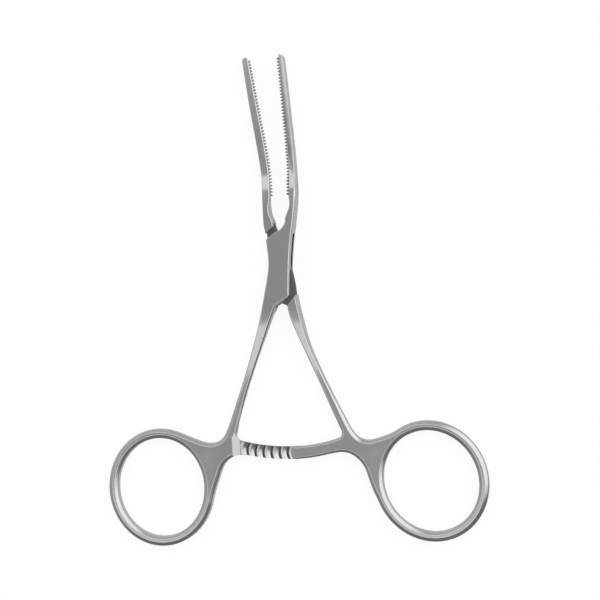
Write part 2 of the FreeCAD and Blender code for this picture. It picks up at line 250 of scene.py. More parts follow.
def ring_arc(ring, grow, start, end, count=RING_STEPS):
    """Places on a ring's oval, grown outward, clockwise between two angles from straight up."""
    lean = math.radians(ring["lean"])
    places = []
    for k in range(count + 1):
        turn = math.radians(start + (end - start) * k / count) + lean
        across = (ring["wide"] + grow) * math.sin(turn)
        up = (ring["high"] + grow) * math.cos(turn)
        places.append((ring["x"] + across * math.cos(lean) - up * math.sin(lean),
                       ring["y"] + across * math.sin(lean) + up * math.cos(lean)))
    return np.array(places)


def outline(*chains):
    """One closed loop from chains of places, each with its rim widths, spread evenly along it."""
    places, rims = [], []
    for line, *widths in chains:
        length = np.concatenate([[0], np.cumsum(np.linalg.norm(np.diff(line, axis=0), axis=1))])
        spread = np.linspace(0, length[-1], len(widths)) if len(widths) > 1 else [0]
        places += list(line[:-1])
        rims += list(np.interp(length[:-1], spread, widths))
    return np.array(places), np.array(rims)


CORNER_STEPS = 9


def rounded(loop, corner, cut):
    """The loop with a corner cut back by a length and replaced with a smooth turn."""
    places, rims = loop
    near = int(np.argmin(np.linalg.norm(places - np.array(corner), axis=1)))
    places, rims = np.roll(places, -near, axis=0), np.roll(rims, -near)
    gaps = np.linalg.norm(np.roll(places, -1, axis=0) - places, axis=1)
    after = int(np.searchsorted(np.cumsum(gaps), cut)) + 1
    before = int(np.searchsorted(np.cumsum(gaps[::-1]), cut)) + 1
    a, b, c = places[-before], places[0], places[after]
    shares = np.linspace(0, 1, CORNER_STEPS)
    turn = [(1 - t) ** 2 * a + 2 * t * (1 - t) * b + t * t * c for t in shares]
    rest = slice(after + 1, len(places) - before)
    turn_rims = np.linspace(rims[-before], rims[after], CORNER_STEPS)
    return np.concatenate([turn, places[rest]]), np.concatenate([turn_rims, rims[rest]])


def turned(loop, left):
    """The loop run so that the metal lies on its left: anticlockwise outside, clockwise inside."""
    places, rims = loop
    x, y = places[:, 0], places[:, 1]
    area = np.sum(x * np.roll(y, -1) - np.roll(x, -1) * y)
    if (area > 0) != left:
        return places[::-1], rims[::-1]
    return places, rims


# Each rim runs from the flat face outwards, in shares of its width: how far in, how far down.
ROUND_RIM = [
    (1 - math.cos(math.radians(a)), 1 - math.sin(math.radians(a))) for a in (90, 75, 60, 45, 30, 15, 0)]
GROUND_RIM = [(1, 0), (0.92, 0.015), (0.68, 0.1), (0.3, 0.27), (0.12, 0.36), (0.03, 0.47), (0, 0.6)]
CROWNED_RIM = [
    (1, 0), (0.8, 0.006), (0.6, 0.018), (0.4, 0.036), (0.2, 0.058), (0.05, 0.08), (0, 0.16)]
RIM_SKIRT = 0.08
LEAST_MITRE = 0.3
GROOVE_HALF_WIDE = 0.6
GROOVE_LIPS = ((-1, 0.68), (1, 0.32))
SAME_PLACE, ON_A_CUT = 1e-4, 1e-5


def handles(x, y):
    """How much of the rim is ground to a flat bevel: none at the box, all at the handles."""
    return ease((-34.0 - y) / 8.0)


def jaw_back(x, y):
    """How much of the rim is drawn out over the right jaw's back in a low crown."""
    return ease((y - 14.0) / 8.0) * float(x > np.interp(y, [14.0, 58.0], [4.8, 3.7]))


def nowhere(x, y):
    """None of a rim, an undercut or a groove at any place."""
    return 0.0


def plate(loops, half_at, full, cuts, ground_at=handles,
          crowned_at=nowhere, undercut_at=nowhere, groove_at=nowhere):
    """A closed plate between loops, split along the cuts so that its faces can slope.

    Its rims go from round to ground or crowned, its wall slopes inwards towards the back where it
    is undercut, and has a groove along its middle where one is asked for.
    """
    bm = bmesh.new()
    caps = {-1: [], 1: []}
    for number, loop in enumerate(loops):
        places, rims = turned(loop, number == 0)
        ahead = np.roll(places, -1, axis=0) - places
        ahead /= np.linalg.norm(ahead, axis=1)[:, None]
        left = np.stack([-ahead[:, 1], ahead[:, 0]], axis=1)
        both = left + np.roll(left, 1, axis=0)
        mitre = both / np.maximum((both ** 2).sum(1) / 2, LEAST_MITRE)[:, None]
        ground, crowned, undercut, groove = [
            np.array([at(x, y) for x, y in places])
            for at in (ground_at, crowned_at, undercut_at, groove_at)]
        rows = [(rims + RIM_SKIRT, 0 * rims)]
        for round_row, ground_row, crowned_row in zip(ROUND_RIM, GROUND_RIM, CROWNED_RIM):
            inset, drop = [
                rims * (a + (b - a) * ground + (c - a) * crowned)
                for a, b, c in zip(round_row, ground_row, crowned_row)]
            rows.append((inset, drop))
        sides = [(-1, inset + undercut, drop) for inset, drop in rows]
        if groove.any():
            drop = np.array([half_at(x, y) for x, y in places]) - GROOVE_HALF_WIDE
            for side, share in GROOVE_LIPS:
                wall = undercut * share
                lip = [(side, wall, drop), (side, np.maximum(wall, groove), drop)]
                sides += lip if side < 0 else lip[::-1]
        sides += [(1, inset, drop) for inset, drop in rows[::-1]]
        made = []
        for side, inset, drop in sides:
            spots = places + mitre * inset[:, None]
            made.append([
                bm.verts.new((x, y, side * (full - d))) for (x, y), d in zip(spots, drop)])
        for low, high in zip(made, made[1:]):
            for i in range(len(low)):
                j = (i + 1) % len(low)
                bm.faces.new((low[i], low[j], high[j], high[i]))
        caps[-1].append(made[0])
        caps[1].append(made[-1])
    for rings in caps.values():
        corners = [v for ring in rings for v in ring]
        for triangle in tessellate_polygon([[v.co for v in ring] for ring in rings]):
            trio = [corners[k] for k in triangle]
            if len(set(trio)) == 3:
                bm.faces.new(trio)
    bmesh.ops.remove_doubles(bm, verts=bm.verts, dist=SAME_PLACE)
    bmesh.ops.recalc_face_normals(bm, faces=bm.faces)
    for y in cuts:
        bmesh.ops.bisect_plane(
            bm, geom=bm.verts[:] + bm.edges[:] + bm.faces[:], dist=ON_A_CUT,
            plane_co=(0, y, 0), plane_no=(0, 1, 0))
    for vert in bm.verts:
        side = 1 if vert.co.z > 0 else -1
        vert.co.z = MID + side * (abs(vert.co.z) - full + half_at(vert.co.x, vert.co.y))
    bmesh.ops.scale(bm, vec=(MM, MM, MM), verts=bm.verts)
    return bm


def block(plan, low, high):
    """A plain prism over a plan."""
    bm = bmesh.new()
    bottom = [bm.verts.new((x * MM, y * MM, low * MM)) for x, y in plan]
    top = [bm.verts.new((x * MM, y * MM, high * MM)) for x, y in plan]
    bm.faces.new(bottom[::-1])
    bm.faces.new(top)
    for i in range(len(plan)):
        j = (i + 1) % len(plan)
        bm.faces.new((bottom[i], bottom[j], top[j], top[i]))
    bmesh.ops.recalc_face_normals(bm, faces=bm.faces)
    return bm


def solid_through(sections, steep=None):
    """A closed solid through sections of equal corners; the steep wall has the milled skin painted dark
    as shade.
    """
    bm = bmesh.new()
    rows = [[bm.verts.new((x * MM, y * MM, z * MM)) for x, y, z in spots] for spots in sections]
    bm.faces.new(rows[0])
    bm.faces.new(rows[-1][::-1])
    for row, after in zip(rows, rows[1:]):
        for i in range(len(row)):
            j = (i + 1) % len(row)
            face = bm.faces.new((row[i], after[i], after[j], row[j]))
            face.material_index = int(i == steep)
    bmesh.ops.recalc_face_normals(bm, faces=bm.faces)
    return bm


def piece(name, bm, skin=0):
    """A new object from a mesh in the making: skin 0 is blasted, 1 milled with painted shade, 2 cut
    with painted shade, None its own.
    """
    mesh = bpy.data.meshes.new(name)
    if skin is not None:
        for face in bm.faces:
            face.material_index = skin
    bm.to_mesh(mesh)
    bm.free()
    for skin_material in (STEEL, MILLED_PAINTED_SHADE, CUT_PAINTED_SHADE):
        mesh.materials.append(skin_material)
    thing = bpy.data.objects.new(name, mesh)
    bpy.context.scene.collection.objects.link(thing)
    return thing


def settle(thing):
    """Work an object's modifiers into its mesh."""
    bpy.context.view_layer.update()
    shape = thing.evaluated_get(bpy.context.evaluated_depsgraph_get())
    mesh = bpy.data.meshes.new_from_object(shape)
    thing.modifiers.clear()
    thing.data = mesh


WELD = 0.002
TOO_SHORT = 0.0005


def carve(thing, operation, *tools):
    """Cut an object by other solids, or join it with them; they are then used up."""
    for tool in tools:
        step = thing.modifiers.new(tool.name, "BOOLEAN")
        step.operation = operation
        step.solver = "EXACT"
        step.object = tool
    settle(thing)
    bm = bmesh.new()
    bm.from_mesh(thing.data)
    bmesh.ops.remove_doubles(bm, verts=bm.verts, dist=WELD * MM)
    bmesh.ops.dissolve_degenerate(bm, edges=bm.edges, dist=TOO_SHORT * MM)
    strays = {edge.link_faces[0] for edge in bm.edges if len(edge.link_faces) == 1}
    bmesh.ops.delete(bm, geom=list(strays), context="FACES")
    bm.to_mesh(thing.data)
    bm.free()
    for tool in tools:
        bpy.data.objects.remove(tool)


FOLD_DEG = 32


def finish(thing, node, body):
    """Give a piece smooth faces with crisp folds, and set it on its body for its plain solid."""
    mesh = thing.data
    mesh.polygons.foreach_set("use_smooth", [True] * len(mesh.polygons))
    mesh.set_sharp_from_angle(angle=math.radians(FOLD_DEG))
    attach(thing, body)
    if node:
        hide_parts(node)


RIGHT_JAW_BACK = [
    (4.3, 58.3), (4.93, 48.6), (5.46, 38.5), (5.92, 28.4), (5.9, 21.7), (5.35, 15.0),
    (4.2, 8.4), (3.25, 1.7), (2.45, -9.0),
]
RIGHT_JAW_FACE = [(3.05, 58.3), (3.45, 49.5), (3.85, 39.0), (4.1, 30.0), (4.1, 23.4), (3.85, 18.5)]
RIGHT_NECK = [(3.85, 18.5), (3.9, 16.4), (3.3, 14.6), (2.6, 13.0), (2.4, 11.6)]
BOX_NOTCH = [(2.4, 11.6), (1.3, 10.1), (0.3, 9.4), (-0.5, 9.2)]
BOX_HIGH_CORNER = (-3.25, 7.2)
LEFT_SHANK_INNER = [
    (-1.75, -11.4), (-2.4, -13.0), (-5.1, -19.6), (-9.26, -29.4), (-11.85, -36.05),
    (-14.1, -42.7), polar(STRIP_IN_R, RACK_SHANK_DEG),
]
LEFT_WEB = [(-16.2, -52.75), (-18.9, -54.4), (-20.8, -58.0)]
LEFT_SHANK_OUTER = [
    (-25.6, -48.25), (-22.4, -48.8), (-19.5, -47.6), (-18.1, -45.6), (-15.45, -39.25),
    (-12.8, -32.6), (-10.25, -26.0), (-7.85, -19.4), (-5.85, -12.8), (-4.2, -6.1), (-2.95, 0.4),
]
SLOT = [
    (-6.0, 12.0), (0.5, 12.0), (0.5, 10.1), (6.0, 7.7), (6.0, -12.5), (-1.9, -12.5), (-1.9, -11.2),
    (-6.0, -8.3),
]
SLOT_HALF = 0.95
PIN_R = 1.2
PIN_ROUND = [
    (PIN_R * math.cos(k * math.pi / 32), PIN_R * math.sin(k * math.pi / 32)) for k in range(64)]
TAPER_CUTS = [y * 0.6 for y in range(-76, -19)]
JAW_CUTS = [12.5 + y * 0.4 for y in range(0, 47)] + [34.0, 40.0, 47.0, 53.0]


def strip_way(degrees):
    """The direction along the ratchet strips, towards the left."""
    return polar(1.0, degrees - 90)


def box_arm_outline():
    """The whole arm's outline: jaw back, shank, rack, web, ring, shank, box, neck, jaw face."""
    ring = ring_arc(LEFT_RING, RING_BAR, *LEFT_RING_SPAN_DEG)
    foot = polar(STRIP_OUT_R, RACK_WEB_DEG)
    ways = [ring[1] - ring[0], ring[-1] - ring[-2]]
    loop = outline(
        (smooth_line(RIGHT_JAW_BACK), 1.3, 1.5, 1.3, 0.6, 0.5, 0.5, 0.5),
        (straight(RIGHT_JAW_BACK[-1], LEFT_SHANK_INNER[0]), 0.45, 0.5),
        (smooth_line(LEFT_SHANK_INNER), 0.5, 0.6, 0.7, 0.7),
        (strip_arc(STRIP_IN_R, RACK_SHANK_DEG, RACK_TIP_DEG), STRIP_RIM),
        (straight(polar(STRIP_IN_R, RACK_TIP_DEG), polar(STRIP_OUT_R, RACK_TIP_DEG)), STRIP_RIM),
        (strip_arc(STRIP_OUT_R, RACK_TIP_DEG, RACK_WEB_DEG), STRIP_RIM, 0.4),
        (smooth_line([foot] + LEFT_WEB + [ring[0]], strip_way(RACK_WEB_DEG), ways[0]),
         0.4, RING_RIM, RING_RIM),
        (ring, RING_RIM),
        (smooth_line([ring[-1]] + LEFT_SHANK_OUTER + [BOX_HIGH_CORNER], ways[1], (-0.05, 1)),
         RING_RIM, RING_RIM, 0.6, 0.35, 0.3, 0.25),
        (straight(BOX_HIGH_CORNER, BOX_NOTCH[-1]), 0.2, 0.2),
        (smooth_line(BOX_NOTCH[::-1]), 0.2, 0.25),
        (smooth_line(RIGHT_NECK[::-1]), 0.25, 0.3),
        (smooth_line(RIGHT_JAW_FACE[::-1]), 0.2, 0.2),
        (straight(RIGHT_JAW_FACE[0], RIGHT_JAW_BACK[0]), 0.3, 0.3),
    )
    loop = rounded(loop, RIGHT_JAW_BACK[0], 0.9)
    loop = rounded(loop, RIGHT_JAW_BACK[-1], 0.5)
    return rounded(loop, LEFT_SHANK_INNER[-1], 1.5)


def opening(ring):
    """The finger opening as a loop."""
    line = ring_arc(ring, 0.0, 0, 360, OPENING_STEPS)
    return line[:-1], np.full(len(line) - 1, RING_RIM)


SHANK_UNDERCUT = 0.4
ON_THE_SIDE = 1.2


def shank_undercut(x, y):
    """How far the left shank's inner side slopes inwards towards the back, from rack to box."""
    inner_x, inner_y = zip(*LEFT_SHANK_INNER[5:0:-1])
    on_it = float(abs(x - np.interp(y, inner_y, inner_x)) < ON_THE_SIDE)
    return SHANK_UNDERCUT * on_it * ease((y + 46.0) / 4.0) * ease((-11.6 - y) / 3.0)


RACK_FACE = MID - STRIP_PLAY
RECESS_SIDE = [(-16.6, MID + 0.3), (-14.7, RACK_FACE), (8.0, RACK_FACE), (8.0, 9.0), (-16.9, 9.0)]
RECESS_ENDS = (-60.0, -47.0)


def rack_recess():
    """The room in front of the rack, its floor rising to the shank over a short slope."""
    return solid_through([[(x, y, z) for x, z in RECESS_SIDE] for y in RECESS_ENDS])


NOTCH_PITCH_DEG = 2.53
NOTCH_DEEP = 0.6
NOTCH_BOW_DEG = 0.5
CREST_SHARE = 0.05
PAST_CREST = 3
PLACES_ACROSS = [-4.3, -STRIP_HALF, -1.3, -0.65, 0.0, 0.65, 1.3, STRIP_HALF, 4.3]


def notch(first_deg, long_first, crest_z, deepen):
    """One saw-tooth notch across the strip, a little bowed as the round cutter leaves it."""
    valley, steep = (0.6, 1) if long_first else (0.32, 0)
    ends = (CREST_SHARE, 1 - CREST_SHARE)
    profile = [(ends[0], crest_z), (valley, crest_z + deepen * NOTCH_DEEP), (ends[1], crest_z)]
    profile += [(share, crest_z - deepen * PAST_CREST) for share in ends[::-1]]
    middle = (STRIP_IN_R + STRIP_OUT_R) / 2
    sections = []
    for off in PLACES_ACROSS:
        bent = NOTCH_BOW_DEG * min(1.0, (off / STRIP_HALF) ** 2)
        sections.append([
            (*polar(middle + off, first_deg + share * NOTCH_PITCH_DEG + bent), z)
            for share, z in profile])
    return piece("notch", solid_through(sections, steep), None)


ROOM_REACH, ROOM_DEEP = 1.5, 0.6
ROOM_FLOOR = MID + 0.6
ROOM_BELOW_FRONT = 0.3


def rows_room():
    """The room behind the right jaw's front edge, where the left jaw's teeth go when it closes."""
    sections = []
    for x, y in smooth_line(RIGHT_JAW_FACE):
        left, right = x - ROOM_REACH, x + ROOM_DEEP
        top = MID + half_thick(0, y) - ROOM_BELOW_FRONT
        sections.append([
            (left, y, ROOM_FLOOR), (right, y, ROOM_FLOOR), (right, y, top), (left, y, top)])
    return solid_through(sections)


def nodes_tree(name, inputs):
    """A new tree of geometry nodes with named inputs, and its two ends."""
    tree = bpy.data.node_groups.new(name, "GeometryNodeTree")
    for label, kind in inputs:
        tree.interface.new_socket(label, in_out="INPUT", socket_type="NodeSocket" + kind)
    tree.interface.new_socket("Geometry", in_out="OUTPUT", socket_type="NodeSocketGeometry")
    return tree, tree.nodes.new("NodeGroupInput"), tree.nodes.new("NodeGroupOutput")


def work_out(holder, tree, values):
    """Work a tree of geometry nodes, with its inputs set, into an object's mesh."""
    step = holder.modifiers.new(tree.name, "NODES")
    step.node_group = tree
    for socket in tree.interface.items_tree:
        if socket.in_out == "INPUT" and socket.name in values:
            step[socket.identifier] = values[socket.name]
    settle(holder)


def turned_copies(name, cutter, count):
    """Copies of a notch, each a pitch further about the hinge; only steep walls keep the milled skin
    with its painted shade.
    """
    tree, given, out = nodes_tree("Turned copies", [
        ("Cutter", "Object"), ("Count", "Int"), ("Pitch", "Float"), ("Material", "Material")])
    nodes, links = tree.nodes, tree.links
    points = nodes.new("GeometryNodePoints")
    index = nodes.new("GeometryNodeInputIndex")
    turn = nodes.new("ShaderNodeMath")
    turn.operation = "MULTIPLY"
    spin = nodes.new("ShaderNodeCombineXYZ")
    shape = nodes.new("GeometryNodeObjectInfo")
    place = nodes.new("GeometryNodeInstanceOnPoints")
    real = nodes.new("GeometryNodeRealizeInstances")
    kept = nodes.new("GeometryNodeInputMaterialIndex")
    blasted = nodes.new("ShaderNodeMath")
    blasted.operation = "LESS_THAN"
    steel = nodes.new("GeometryNodeSetMaterial")
    links.new(given.outputs["Count"], points.inputs["Count"])
    links.new(given.outputs["Cutter"], shape.inputs["Object"])
    links.new(index.outputs["Index"], turn.inputs[0])
    links.new(given.outputs["Pitch"], turn.inputs[1])
    links.new(turn.outputs[0], spin.inputs["Z"])
    links.new(points.outputs[0], place.inputs["Points"])
    links.new(shape.outputs["Geometry"], place.inputs["Instance"])
    links.new(spin.outputs[0], place.inputs["Rotation"])
    links.new(place.outputs[0], real.inputs[0])
    links.new(real.outputs[0], steel.inputs["Geometry"])
    links.new(kept.outputs[0], blasted.inputs[0])
    links.new(blasted.outputs[0], steel.inputs["Selection"])
    links.new(given.outputs["Material"], steel.inputs["Material"])
    links.new(steel.outputs[0], out.inputs[0])
    holder = piece(name, bmesh.new())
    pitch = math.radians(NOTCH_PITCH_DEG)
    work_out(holder, tree, {"Cutter": cutter, "Count": count, "Pitch": pitch, "Material": STEEL})
    bpy.data.objects.remove(cutter)
    return holder


RACK_NOTCHES = 7
FIRST_NOTCH_DEG = -15.9

box_arm = piece("box_arm_forging", plate(
    [box_arm_outline(), opening(LEFT_RING)], half_with_crown, BOX_HALF, TAPER_CUTS + JAW_CUTS,
    crowned_at=jaw_back, undercut_at=shank_undercut))
carve(box_arm, "DIFFERENCE",
      piece("recess", rack_recess()),
      turned_copies("rack_notches", notch(FIRST_NOTCH_DEG, True, RACK_FACE, -1), RACK_NOTCHES),
      # The slot's walls take the milled skin, painted dark as shade inside the box lock.
      piece("slot", block(SLOT, MID - SLOT_HALF, MID + SLOT_HALF), 1),
      piece("hole", block(PIN_ROUND, -1.0, 6.0)),
      piece("rows_room", rows_room()))
finish(box_arm, "box_arm", "box_arm")


# The tongue arm: left jaw, the thin tongue that runs through the box, right shank, right ring and
# the ratchet arm, forged in one. The tongue is thin, and past its shoulders, at both ends of the
# box, the arm is as thick as the box arm beside it.

RIGHT_RING = {"x": 38.6, "y": -61.35, "wide": 12.9, "high": 14.0, "lean": 22.0}
RIGHT_RING_SPAN_DEG = (-32, 250)
ARM_TIP_DEG, ARM_WEB_DEG, ARM_SHANK_DEG = 0.3, 10.0, 17.6
ARM_FACE = MID + STRIP_PLAY
ARM_NOTCHES = 5
FIRST_ARM_NOTCH_DEG = 0.6
TONGUE_HALF = 0.9
TONGUE_RIM = 0.12
JAW_RIM = 0.22
JAW_UNDERCUT = 0.62
GROOVE_DEEP = 0.9
LEFT_JAW_FACE = [
    (-5.75, 58.2), (-4.4, 48.0), (-3.0, 38.0), (-2.0, 30.5), (-1.5, 24.0), (-1.55, 18.6)]
LEFT_NECK = [(-1.55, 18.6), (-2.0, 16.6), (-1.95, 14.2), (-1.25, 12.3), (-1.06, 10.7)]
LEFT_JAW_BACK = [
    (-3.3, 9.0), (-3.6, 10.6), (-3.72, 14.0), (-3.66, 19.0), (-3.62, 24.0), (-4.02, 28.9),
    (-4.85, 35.7), (-5.74, 42.45), (-7.45, 58.2),
]
TONGUE_LEFT = [(-3.2, 9.6), (-3.1, 7.0), (-2.3, 1.5), (-1.7, -3.0), (-1.0, -8.0), (-0.7, -10.0)]
TONGUE_CROTCH = [(-0.7, -10.0), (0.2, -10.8), (1.2, -11.3), (2.3, -12.6)]
TONGUE_RIGHT = [
    (-1.5, 12.6), (-1.0, 11.4), (-0.6, 10.3), (0.1, 8.6), (1.3, 5.0), (2.6, 0.5), (3.25, -2.0),
    (4.05, -8.0), (4.1, -10.0),
]
RIGHT_SHANK_OUTER = [
    (4.15, -8.6), (4.6, -11.7), (5.3, -15.1), (6.9, -21.8), (8.1, -25.2), (11.66, -33.7),
    (14.7, -40.5), (16.25, -43.9), (17.9, -47.0), (19.8, -48.9), (22.1, -49.5), (25.1, -48.95),
]
RIGHT_SHANK_INNER = [
    polar(STRIP_IN_R, ARM_SHANK_DEG), (12.14, -40.4), (8.1, -30.2), (5.43, -23.4), (2.94, -16.6),
    (2.0, -13.4), (1.75, -11.45),
]
RIGHT_WEB = [
    (22.7, -63.7), (21.5, -60.0), (20.6, -57.2), (18.7, -54.5), (16.3, -52.95), (13.4, -52.65),
]
ARM_RECESS = [(-5.0, -47.5), (12.8, -47.5), (12.8, -57.0), (-5.0, -57.0)]


def gripping_side(x, y):
    """Whether a place of the left jaw's outline is on its gripping side."""
    return float(x > np.interp(y, [10.0, 24.0, 58.0], [-2.4, -2.8, -6.8]) and y > 11.0)


def jaw_undercut(x, y):
    """How far the gripping side slopes inwards towards the jaw's lower face."""
    return JAW_UNDERCUT * gripping_side(x, y) * ease((y - 15.0) / 4.0)


def jaw_groove(x, y):
    """Depth of the groove between the left jaw's two rows of teeth."""
    return GROOVE_DEEP * gripping_side(x, y) * ease((y - 17.6) / 0.8) * ease((57.8 - y) / 0.8)


def left_jaw_outline():
    """The left jaw and its neck down to the box, from the tip along the gripping face."""
    loop = outline(
        (smooth_line(LEFT_JAW_FACE), JAW_RIM),
        (smooth_line(LEFT_NECK), JAW_RIM, 0.2),
        (straight(LEFT_NECK[-1], LEFT_JAW_BACK[0]), TONGUE_RIM),
        (smooth_line(LEFT_JAW_BACK), 0.2),
        (straight(LEFT_JAW_BACK[-1], LEFT_JAW_FACE[0]), 0.3),
    )
    return rounded(loop, LEFT_JAW_BACK[-1], 0.7)


def tongue_outline():
    """The thin tongue through the box, reaching a little into the jaw and the shank."""
    lines = [
        smooth_line(TONGUE_LEFT), smooth_line(TONGUE_CROTCH),
        straight(TONGUE_CROTCH[-1], TONGUE_RIGHT[-1]), smooth_line(TONGUE_RIGHT)[::-1],
        straight(TONGUE_RIGHT[0], TONGUE_LEFT[0]),
    ]
    return outline(*[(line, TONGUE_RIM) for line in lines])


def right_handle_outline():
    """The right shank, ring, web and ratchet arm, clockwise from the shank's top."""
    ring = ring_arc(RIGHT_RING, RING_BAR, *RIGHT_RING_SPAN_DEG)
    foot = polar(STRIP_OUT_R, ARM_WEB_DEG)
    ways = [ring[1] - ring[0], ring[-1] - ring[-2]]
    loop = outline(
        (smooth_line(RIGHT_SHANK_OUTER + [ring[0]], (0.1, -1), ways[0]),
         0.3, 0.4, 0.6, 0.8, RING_RIM, RING_RIM),
        (ring, RING_RIM),
        (smooth_line([ring[-1]] + RIGHT_WEB + [foot], ways[1], strip_way(ARM_WEB_DEG)),
         RING_RIM, 1.0, 0.6),
        (strip_arc(STRIP_OUT_R, ARM_WEB_DEG, ARM_TIP_DEG), 0.6, 0.5),
        (straight(polar(STRIP_OUT_R, ARM_TIP_DEG), polar(STRIP_IN_R, ARM_TIP_DEG)), STRIP_RIM),
        (strip_arc(STRIP_IN_R, ARM_TIP_DEG, ARM_SHANK_DEG), 0.5, 0.7),
        (smooth_line(RIGHT_SHANK_INNER), 0.7, 0.4, 0.4, 0.3),
        (straight(RIGHT_SHANK_INNER[-1], RIGHT_SHANK_OUTER[0]), 0.15),
    )
    loop = rounded(loop, polar(STRIP_OUT_R, ARM_TIP_DEG), 1.3)
    return rounded(loop, RIGHT_SHANK_INNER[0], 2.0)


tongue_arm = piece("tongue_arm_forging", plate(
    [left_jaw_outline()], half_thick, BOX_HALF, JAW_CUTS,
    ground_at=gripping_side, undercut_at=jaw_undercut, groove_at=jaw_groove))
handle = piece("handle", plate(
    [right_handle_outline(), opening(RIGHT_RING)], half_thick, BOX_HALF, TAPER_CUTS))
# The tongue takes the milled skin, painted dark as shade where it lies inside the box.
tongue = piece("tongue", plate(
    [tongue_outline()], lambda x, y: TONGUE_HALF, TONGUE_HALF, []), 1)
carve(handle, "DIFFERENCE",
      piece("recess", block(ARM_RECESS, -3.0, ARM_FACE)),
      turned_copies("arm_notches", notch(FIRST_ARM_NOTCH_DEG, False, ARM_FACE, 1), ARM_NOTCHES))
carve(tongue_arm, "UNION", tongue, handle)
finish(tongue_arm, "tongue_arm", "tongue_arm")


# The jaw teeth: fine triangular teeth, milled across the gripping faces. One row on the right jaw
# closes between the two rows on the left jaw, so that they hold a vessel without biting it.

TOOTH_COUNT = 43
TOOTH_FLAT, TOOTH_ROOT = 0.05, 0.12
RIDGE_TOOTH, PAIR_TOOTH = (0.45, 0.85), (0.2, 0.62)
TEETH_FROM, TEETH_TO = 0.03, 0.98
BEND_Y = 26.5
RIDGE_WIDE, WIDER_BELOW_BEND = 1.0, 2.4
ROWS_FROM_MID = 0.75
ROWS_BELOW_FRONT = 0.32
BACK_ROW_ASIDE = -0.5


def tooth(half_base, high):
    """A triangular tooth, a millimetre long along its crest, with a narrow flat on the crest."""
    profile = [(-half_base, -TOOTH_ROOT), (half_base, -TOOTH_ROOT), (half_base, 0.0)]
    profile += [(TOOTH_FLAT, high), (-TOOTH_FLAT, high), (-half_base, 0.0)]
    return piece("tooth", block(profile, -0.5, 0.5))


def rows_of_teeth(name, shape_of_one, rows, material):
    """Teeth set along lines by geometry nodes; each line holds places and the row's width there."""
    mesh = bpy.data.meshes.new(name)
    places, edges, widths = [], [], []
    for row in rows:
        first = len(places)
        places += [(x * MM, y * MM, z * MM) for x, y, z, width in row]
        widths += [width for x, y, z, width in row]
        edges += [(first + k, first + k + 1) for k in range(len(row) - 1)]
    mesh.from_pydata(places, edges, [])
    mesh.attributes.new("width", "FLOAT", "POINT").data.foreach_set("value", widths)
    holder = bpy.data.objects.new(name, mesh)
    bpy.context.scene.collection.objects.link(holder)
    tree, given, out = nodes_tree("Teeth on lines", [
        ("Geometry", "Geometry"), ("Tooth", "Object"), ("Count", "Int"), ("Material", "Material")])
    nodes, links = tree.nodes, tree.links
    line = nodes.new("GeometryNodeMeshToCurve")
    even = nodes.new("GeometryNodeResampleCurve")
    along = nodes.new("GeometryNodeInputTangent")
    face = nodes.new("FunctionNodeAlignRotationToVector")
    face.axis = "X"
    wide = nodes.new("GeometryNodeInputNamedAttribute")
    wide.data_type = "FLOAT"
    wide.inputs["Name"].default_value = "width"
    size = nodes.new("ShaderNodeCombineXYZ")
    size.inputs["X"].default_value = 1.0
    size.inputs["Y"].default_value = 1.0
    shape = nodes.new("GeometryNodeObjectInfo")
    place = nodes.new("GeometryNodeInstanceOnPoints")
    real = nodes.new("GeometryNodeRealizeInstances")
    steel = nodes.new("GeometryNodeSetMaterial")
    links.new(given.outputs["Geometry"], line.inputs["Mesh"])
    links.new(line.outputs["Curve"], even.inputs["Curve"])
    links.new(given.outputs["Count"], even.inputs["Count"])
    links.new(along.outputs["Tangent"], face.inputs["Vector"])
    links.new(wide.outputs["Attribute"], size.inputs["Z"])
    links.new(given.outputs["Tooth"], shape.inputs["Object"])
    links.new(even.outputs["Curve"], place.inputs["Points"])
    links.new(shape.outputs["Geometry"], place.inputs["Instance"])
    links.new(face.outputs["Rotation"], place.inputs["Rotation"])
    links.new(size.outputs["Vector"], place.inputs["Scale"])
    links.new(place.outputs[0], real.inputs[0])
    links.new(real.outputs[0], steel.inputs["Geometry"])
    links.new(given.outputs["Material"], steel.inputs["Material"])
    links.new(steel.outputs[0], out.inputs[0])
    work_out(holder, tree, {"Tooth": shape_of_one, "Count": TOOTH_COUNT, "Material": material})
    bpy.data.objects.remove(shape_of_one)
    return holder


def tooth_line(face):
    """Places along the part of a gripping face that has teeth."""
    line = smooth_line(face)
    return line[int(TEETH_FROM * len(line)):int(TEETH_TO * len(line))]


ridge = []
for x, y in tooth_line(RIGHT_JAW_FACE)[::-1]:
    ridge.append((x, y, MID, RIDGE_WIDE + WIDER_BELOW_BEND * ease((BEND_Y - y) / 4.0)))
# The right jaw's teeth take the cut steel, painted darker as the shade between them.
right_teeth = rows_of_teeth("right_jaw_teeth", tooth(*RIDGE_TOOTH), [ridge], CUT_PAINTED_SHADE)
finish(right_teeth, None, "box_arm")

pair = []
for side in (1, -1):
    row = []
    for x, y in tooth_line(LEFT_JAW_FACE):
        low, high = ROWS_FROM_MID, half_thick(x, y) - ROWS_BELOW_FRONT
        aside = 0.0 if side > 0 else BACK_ROW_ASIDE
        row.append((x + aside, y, MID + side * (low + high) / 2, high - low))
    pair.append(row)
left_teeth = rows_of_teeth("left_jaw_teeth", tooth(*PAIR_TOOTH), pair, STEEL)
finish(left_teeth, None, "tongue_arm")


# The pivot pin: a steel rivet through both walls of the box and the tongue, ground flush, so that
# only a hair line shows where its ends are.

finish(piece("rivet", block(PIN_ROUND, 0.0, MID + BOX_HALF)), "pivot_pin", "box_arm")


# The studio: a white table, a bright tent round the clamp and one dark patch where its flat faces
# mirror, so that they read mid grey and every slope reads lighter.

